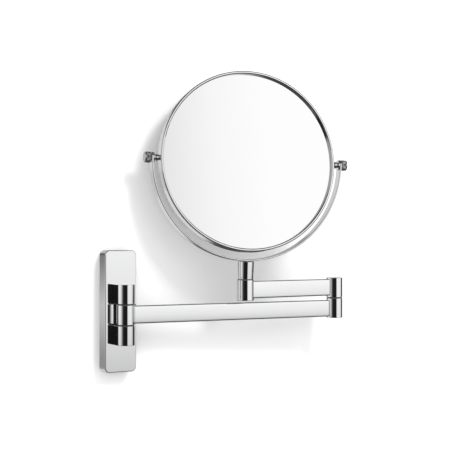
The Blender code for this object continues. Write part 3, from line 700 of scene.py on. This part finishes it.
for prefix, low, place, body in (
    ("elbow", elbow_low, elbow_place, "lower_arm"),
    ("stem", stem_low, stem_axis, "upper_arm"),
):
    rim = COUNTERBORE - GAP
    cap = lathe(
        prefix + "_end_cap",
        [
            (0, low + 0.0002),
            (rim * 0.72, low + 0.0001, 0.0008),
            (rim, low + 0.0002, 0.0003),
            (rim, low + 0.0014, 0.0002),
            (0, low + 0.0014),
        ],
        place,
        64,
    )
    place_piece(cap, body, NYLON, "nylon", prefix + "_cap")


# --- Stem and yoke ----------------------------------------------------------

stem_base = STEM_SPLIT_Z + SEAM / 2
stem_top = PIVOT_Z - YOKE_OUTER
foot = stem_low + COUNTERBORE_DEPTH
bm = bmesh.new()
profile = fillet(
    [
        (0, foot + STEM_SCREW[1]),
        (STEM_SCREW[0], foot + STEM_SCREW[1]),
        (STEM_SCREW[0], foot),
        (PIN, foot, SMALL_EDGE),
        (PIN, stem_base),
        (STEM_RADIUS, stem_base, BARREL_EDGE),
    ]
)
segments = 128
rings = [[(x, y, z) for x, y in circle(radius, segments)] for radius, z in profile]
saddle_steps = (
    (0, 0.0009), (0.0001, 0.0007), (0.0006, 0.0001), (0.0008, 0), (0.004, 0), (0.0063, 0),
)
for inset, drop in saddle_steps:
    ring = []
    for x, y in circle(STEM_RADIUS - inset, segments):
        saddle = PIVOT_Z - math.sqrt((YOKE_OUTER + GAP) ** 2 - x**2)
        ring.append((x, y, saddle - drop))
    rings.append(ring)
rings.append([(x, y, stem_top - STEM_BORE_DEPTH) for x, y, _ in rings[-1]])
loft(bm, rings)
stem_piece = finish_mesh("stem_post", bm, yoke_place)
place_piece(stem_piece, "yoke", CHROME_HEAD, "chrome_head", "stem")


def band_section(width, thickness):
    """Rounded section of the band: (outward, sideways) points round its middle."""
    return rounded_box(thickness, width, min(YOKE_EDGE, width * 0.45, thickness * 0.45), 4)


bm = bmesh.new()
loops = []
half_width = YOKE_WIDTH / 2
middle = (YOKE_INNER + YOKE_OUTER) / 2
thickness = YOKE_OUTER - YOKE_INNER
stations = []
tips = 14
arc = 144
tip = []
for step in range(tips):
    turn = math.pi / 2 * (step + 0.35) / (tips + 0.35)
    tip.append((half_width * math.cos(turn), half_width * math.sin(turn)))
stations += [(math.pi, rise, reach) for rise, reach in tip]
stations += [(math.pi * (1 + step / arc), 0.0, half_width) for step in range(arc + 1)]
stations += [(2 * math.pi, rise, reach) for rise, reach in reversed(tip)]
for angle, rise, reach in stations:
    loops.append(
        [
            (
                (middle + out) * math.cos(angle),
                side,
                (middle + out) * math.sin(angle) + rise,
            )
            for out, side in band_section(2 * reach, thickness)
        ]
    )
loft(bm, loops)
band = finish_mesh(
    "yoke_half_ring", bm, yoke_place @ Matrix.Translation((0, 0, PIVOT_Z)), 50
)
sink = lathe(
    "cutter",
    [
        (0, 0.0540), (0.0024, 0.0540), (0.0024, 0.0545), (0.0039, 0.0558), (0.0039, 0.058),
        (0, 0.058),
    ],
    yoke_place,
    64,
)
cut(band, [sink])
place_piece(band, "yoke", CHROME_HEAD, "chrome_head", "yoke_band")


# --- Mirror head ------------------------------------------------------------

RING_SIDES = 360
rim_z = HALF_HEAD - BEZEL_CAP - GAP
rim_inner = MIRROR - RIM_WALL
ring = lathe(
    "mirror_rim",
    [
        (MIRROR, -rim_z, FINE_EDGE),
        (MIRROR, rim_z, FINE_EDGE),
        (rim_inner, rim_z),
        (rim_inner, -rim_z),
    ],
    head_place @ face_room,
    RING_SIDES,
)
place_piece(ring, "mirror_head", CHROME_HEAD, "chrome_head", "rim_ring")
skirt = rim_inner - GAP
skirt_z = HALF_HEAD - GLASS_RECESS
for name, node, turn in (
    ("bezel_front", "front_bezel", face_room),
    ("bezel_rear", "rear_bezel", face_back),
):
    bezel = lathe(
        name,
        [
            (MIRROR, HALF_HEAD - BEZEL_CAP, FINE_EDGE),
            (MIRROR, HALF_HEAD - BEZEL_OUTER_DROP, BEZEL_EDGE),
            (MIRROR - BEZEL_SLOPE, HALF_HEAD, BEZEL_EDGE),
            (BEZEL_INNER + BEZEL_SLOPE, HALF_HEAD, BEZEL_EDGE),
            (BEZEL_INNER, HALF_HEAD - BEZEL_INNER_DROP, BEZEL_EDGE),
            (BEZEL_INNER, skirt_z, BEZEL_EDGE),
            (skirt, skirt_z),
            (skirt, HALF_HEAD - BEZEL_CAP),
        ],
        head_place @ turn,
        RING_SIDES,
        6,
    )
    place_piece(bezel, "mirror_head", CHROME_HEAD, "chrome_head", node)
glass_front = skirt_z - GAP
glass_back = glass_front - GLASS_THICKNESS
glass_edge = rim_inner - GAP
flat = lathe(
    "glass_flat",
    [
        (0, glass_back),
        (glass_edge, glass_back, SMALL_EDGE),
        (glass_edge, glass_front, 0.0005),
        (0, glass_front),
    ],
    head_place @ face_room,
    RING_SIDES,
)
place_piece(flat, "mirror_head", GLASS_FRONT, "silvered_glass", "front_glass")
hollow = [
    (0, glass_back),
    (glass_edge, glass_back, SMALL_EDGE),
    (glass_edge, glass_front, SMALL_EDGE),
]
for step in range(25):
    share = 1 - step / 24
    hollow.append((BEZEL_INNER * share, glass_front - GLASS_HOLLOW * (1 - share**2)))
dished = lathe("glass_magnifying", hollow, head_place @ face_back, 240)
place_piece(dished, "mirror_head", GLASS_REAR, "silvered_glass", "rear_glass")


# --- Tilt pivots ------------------------------------------------------------

disc_radius, disc_thickness = PIVOT_DISC
disc_start = YOKE_INNER - GAP - disc_thickness
per_tooth = 4
knob_body = KNOB_START + KNOB_NECK[1]
knob_end = knob_body + KNOB_LENGTH
shoulder = knob_body + KNOB_LENGTH * 0.72


def knurl(radius, height, index):
    """Cut grooves along the knob's grip, between its two ends."""
    if height < knob_body + 0.0005 or height > shoulder or radius < KNOB_RADIUS - 1e-6:
        return radius
    return radius - KNOB_GROOVE * (0, 0.45, 1.0, 0.45)[index % per_tooth]


knob_outline = [
    (0, knob_end - KNOB_END_WALL),
    (STUD_HOLE, knob_end - KNOB_END_WALL),
    (STUD_HOLE, KNOB_START),
    (KNOB_NECK[0], KNOB_START, 0.0001),
    (KNOB_NECK[0], knob_body, 0.0001),
    (KNOB_RADIUS - 0.0005, knob_body),
    (KNOB_RADIUS - 0.0001, knob_body + 0.0003),
    (KNOB_RADIUS, knob_body + 0.00055),
    (KNOB_RADIUS, shoulder - 0.0001),
    (KNOB_RADIUS - 0.00045, shoulder + 0.0001, 0.00006),
    (KNOB_RADIUS - 0.00045, shoulder + 0.0004, 0.00006),
    (KNOB_RADIUS - 0.00015, shoulder + 0.0005, 0.0001),
    (KNOB_RADIUS - 0.00015, knob_end, 0.0006),
    (KNOB_RADIUS * 0.86, knob_end, 0.0001),
    (KNOB_RADIUS * 0.80, knob_end - 0.00015, 0.0001),
    (0, knob_end - 0.00015),
]
for side, turn in to_side.items():
    place = head_place @ turn
    body = "knob_{}_body".format(side)
    knob = lathe("tilt_knob_" + side, knob_outline, place, KNOB_TEETH * per_tooth, 4, knurl)
    place_piece(knob, body, KNURLED, "chrome_head", "knob_" + side)
    bead = []
    for step in range(17):
        share = step / 16
        radius = COLLAR[0] + (COLLAR[1] - COLLAR[0]) * math.sin(math.pi * share)
        bead.append((radius, MIRROR + GAP + (disc_start - 2 * GAP - MIRROR) * share))
    spacer = lathe(
        "pivot_collar_" + side,
        bead + [(STUD_HOLE, disc_start - GAP), (STUD_HOLE, MIRROR + GAP)],
        place,
        64,
    )
    place_piece(spacer, "mirror_head", CHROME_HEAD, "chrome_head", "pivot_spacer_" + side)
    washer = lathe(
        "pivot_disc_" + side,
        [
            (disc_radius, disc_start, 0.00025),
            (disc_radius, disc_start + disc_thickness, 0.00025),
            (STUD_HOLE, disc_start + disc_thickness),
            (STUD_HOLE, disc_start),
        ],
        place,
        64,
    )
    place_piece(washer, "mirror_head", CHROME_HEAD, "chrome_head", "pivot_washer_" + side)


# --- Carried-over nodes -----------------------------------------------------

FINISHES = {"wall_bracket": GALVANISED, "backing_board": BOARD}
replaced = {
    "wall_cover", "knuckle_upper", "knuckle_lower", "wall_hinge_plug", "lower_arm_bar",
    "upper_arm_bar", "wall_barrel", "elbow_lower_barrel", "elbow_upper_barrel", "stem_barrel",
    "elbow_cap", "stem_cap", "stem", "yoke_band", "rim_ring", "front_bezel", "rear_bezel",
    "front_glass", "rear_glass", "knob_left", "knob_right", "pivot_spacer_left",
    "pivot_spacer_right", "pivot_washer_left", "pivot_washer_right",
}
for name, item in nodes.items():
    if name in replaced:
        continue
    finish = FINISHES.get(name, NYLON if "bush" in name else STEEL)
    for material_slot in item.material_slots:
        material_slot.material = finish
    soften = item.modifiers.new("soft_edges", "BEVEL")
    soften.width = 0.00012
    soften.segments = 2
    soften.limit_method = "ANGLE"
    soften.angle_limit = math.radians(40)


# --- Studio -----------------------------------------------------------------

# The camera's yaw, from which the directions below are counted, and its place
FRONT = 0.5285
CAMERA_PITCH = 0.0064
CAMERA_PLACE = (-0.4795, -1.0600, 0.0768)
CAMERA_LENS = 86.5
KEY_PLACE = (0.36, -0.89, 0.86)
KEY_AIM = (0.12, -0.02, 0.05)
KEY_SIZE = 0.30
KEY_POWER = 7.0
FILL = 1.42

# What the chrome sees, as (degrees, brightness). Directions run round the vertical
# from FRONT, positive to the right, or up from the horizon.
ACROSS = [
    (-180, 0.03), (-142, 0.03), (-118, 0.05), (-112, 0.08), (-106, 0.85), (-98, 1.05),
    (-80, 1.05), (-62, 0.92), (-45, 0.35), (-30, 0.03), (-6, 0.012), (22, 0.012), (27, 0.30),
    (32, 0.82), (35, 0.97), (38, 1.03), (72, 1.05), (92, 0.92), (106, 0.6), (114, 0.08),
    (150, 0.03), (180, 0.03),
]
UPWARD = [
    (-90, 0.12), (-30, 0.07), (-15, 0.22), (-8, 0.56), (-6.6, 0.655), (-5.9, 0.72),
    (-4.9, 0.79), (-4, 0.845), (-2.7, 0.885), (-1.5, 0.92), (-0.7, 0.945), (3, 0.98),
    (8, 1.0), (28, 1.0), (38, 0.3), (50, 0.07), (90, 0.12),
]
# Least brightness round the vertical, away from the height of the dark gap
ABOVE = [(-12, 0.4), (-8, 0), (0.5, 0), (4, 0.42)]
# Share of the wall's side of the room, and its brightness
WALLWARD = [(-172, 0), (-167, 1), (-124, 1), (-113, 0), (113, 0), (124, 1), (167, 1), (172, 0)]
BEHIND = [(-9, 0.15), (-6.8, 0.04), (-1, 0.04), (1, 0.1), (6, 0.15)]
# Glow that the yoke's and the rim's sides see
HEADWARD = [(-170, 0), (-164, 1), (-138, 1), (-134, 0)]
HEAD_HEIGHT = [
    (-75, 0.1), (-50, 0.45), (-12, 0.58), (-1, 0.5), (4, 0.56), (20, 0.48), (32, 0.12),
]
# Glow that the plate's left side sees
BESIDE = [(-136, 0), (-131, 1), (-120, 1), (-115, 0)]
BESIDE_HEIGHT = [(-9, 0.25), (-6.2, 0.25), (-3.6, 0.54), (-1.2, 0.2), (0.5, 0)]


def add_camera():
    data = bpy.data.cameras.new("camera")
    data.sensor_width = 36.0
    data.lens = CAMERA_LENS
    cam = bpy.data.objects.new("camera", data)
    flat = math.cos(CAMERA_PITCH)
    ahead = Vector((math.sin(FRONT) * flat, math.cos(FRONT) * flat, math.sin(CAMERA_PITCH)))
    cam.location = CAMERA_PLACE
    cam.rotation_mode = "QUATERNION"
    cam.rotation_quaternion = ahead.to_track_quat("-Z", "Y")
    bpy.context.scene.collection.objects.link(cam)
    bpy.context.scene.camera = cam


def add_wall():
    """White wall that runs down in a cove to a pale floor; seen from the room only."""
    bm = bmesh.new()
    cove, floor_z, reach = 0.5, -0.95, 3.0
    line = [(0.0005, 2.6)]
    for step in range(17):
        angle = math.pi / 2 * step / 16
        line.append(
            (0.0005 - cove * (1 - math.cos(angle)), floor_z + cove * (1 - math.sin(angle)))
        )
    line.append((-4.0, floor_z))
    for side in (-1, 1):
        for y, z in line:
            bm.verts.new((side * reach, y, z))
    bm.verts.ensure_lookup_table()
    count = len(line)
    for index in range(count - 1):
        bm.faces.new(
            (
                bm.verts[index],
                bm.verts[index + 1],
                bm.verts[count + index + 1],
                bm.verts[count + index],
            )
        )
    mesh = bpy.data.meshes.new("studio_wall")
    bm.normal_update()
    bm.to_mesh(mesh)
    bm.free()
    mesh.shade_smooth()
    wall = bpy.data.objects.new("studio_wall", mesh)
    bpy.context.scene.collection.objects.link(wall)
    made = Nodes("studio_wall", (0.8, 0.8, 0.8), 0.0, Roughness=1.0, Specular_IOR_Level=0.0)
    output = made.tree.nodes["Material Output"]
    clear = made.node("BsdfTransparent")
    mixer = made.node("MixShader")
    made.link(made.node("NewGeometry").outputs["Backfacing"], mixer.inputs["Fac"])
    made.link(made.shader.outputs["BSDF"], mixer.inputs[1])
    made.link(clear.outputs["BSDF"], mixer.inputs[2])
    made.link(mixer.outputs["Shader"], output.inputs["Surface"])
    mesh.materials.append(made.material)
    wall.visible_glossy = False


def ramp(tree, value, stops):
    """Brightness from a value of 0 to 1, by straight lines between the stops."""
    made = tree.nodes.new("ShaderNodeValToRGB")
    made.color_ramp.interpolation = "LINEAR"
    elements = made.color_ramp.elements
    while len(elements) > 1:
        elements.remove(elements[-1])
    for index, (spot, level) in enumerate(stops):
        element = elements[0] if index == 0 else elements.new(spot)
        element.position = spot
        element.color = (level, level, level, 1)
    tree.links.new(value, made.inputs["Fac"])
    return made.outputs["Color"]


def add_world():
    """Plain white to the camera and for soft light; a pattern of screens to reflections."""
    world = bpy.data.worlds.new("studio")
    bpy.context.scene.world = world
    world.use_nodes = True
    tree = world.node_tree
    background = tree.nodes["Background"]
    output = tree.nodes["World Output"]

    def math_node(operation, first, second=0.0):
        made = tree.nodes.new("ShaderNodeMath")
        made.operation = operation
        for socket, value in zip(made.inputs, (first, second)):
            if isinstance(value, (int, float)):
                socket.default_value = value
            else:
                tree.links.new(value, socket)
        return made.outputs["Value"]

    def around(value, stops):
        return ramp(tree, value, [((angle + 180) / 360, level) for angle, level in stops])

    def upward(value, stops):
        return ramp(tree, value, [((angle + 90) / 180, level) for angle, level in stops])

    def blend(mode, first, second, factor=None):
        made = tree.nodes.new("ShaderNodeMix")
        made.data_type = "RGBA"
        made.blend_type = mode
        made.inputs["Factor"].default_value = 1.0
        if factor:
            tree.links.new(factor, made.inputs["Factor"])
        tree.links.new(first, made.inputs["A"])
        tree.links.new(second, made.inputs["B"])
        return made.outputs["Result"]

    coords = tree.nodes.new("ShaderNodeTexCoord")
    turn = tree.nodes.new("ShaderNodeVectorRotate")
    turn.rotation_type = "Z_AXIS"
    turn.inputs["Angle"].default_value = FRONT
    tree.links.new(coords.outputs["Generated"], turn.inputs["Vector"])
    parts = tree.nodes.new("ShaderNodeSeparateXYZ")
    tree.links.new(turn.outputs["Vector"], parts.inputs["Vector"])
    toward = math_node("MULTIPLY", parts.outputs["Y"], -1.0)
    azimuth = math_node("ARCTAN2", parts.outputs["X"], toward)
    azimuth = math_node("ADD", math_node("DIVIDE", azimuth, 2 * math.pi), 0.5)
    height = math_node("ARCSINE", parts.outputs["Z"])
    height = math_node("ADD", math_node("DIVIDE", height, math.pi), 0.5)
    level = blend("LIGHTEN", around(azimuth, ACROSS), upward(height, ABOVE))
    front = blend("MULTIPLY", level, upward(height, UPWARD))
    behind = upward(height, BEHIND)
    screens = blend("MIX", front, behind, around(azimuth, WALLWARD))
    beside = blend("MULTIPLY", around(azimuth, BESIDE), upward(height, BESIDE_HEIGHT))
    screens = blend("ADD", screens, beside)
    head = blend("MULTIPLY", around(azimuth, HEADWARD), upward(height, HEAD_HEIGHT))
    screens = blend("ADD", screens, head)
    rays = tree.nodes.new("ShaderNodeLightPath")
    soft = tree.nodes.new("ShaderNodeMix")
    soft.data_type = "RGBA"
    plain = math_node("MAXIMUM", rays.outputs["Is Camera Ray"], rays.outputs["Is Diffuse Ray"])
    tree.links.new(plain, soft.inputs["Factor"])
    tree.links.new(screens, soft.inputs["A"])
    soft.inputs["B"].default_value = (FILL, FILL, FILL, 1)
    tree.links.new(soft.outputs["Result"], background.inputs["Color"])
    tree.links.new(background.outputs["Background"], output.inputs["Surface"])
    world.cycles.sampling_method = "NONE"


def add_key():
    data = bpy.data.lights.new("key", "AREA")
    data.shape = "DISK"
    data.size = KEY_SIZE
    data.energy = KEY_POWER
    key = bpy.data.objects.new("key", data)
    key.location = KEY_PLACE
    aim = Vector(KEY_AIM) - key.location
    key.rotation_mode = "QUATERNION"
    key.rotation_quaternion = aim.to_track_quat("-Z", "Y")
    key.visible_glossy = False
    bpy.context.scene.collection.objects.link(key)


add_camera()
add_wall()
add_world()
add_key()
bpy.context.scene.view_settings.view_transform = "Standard"
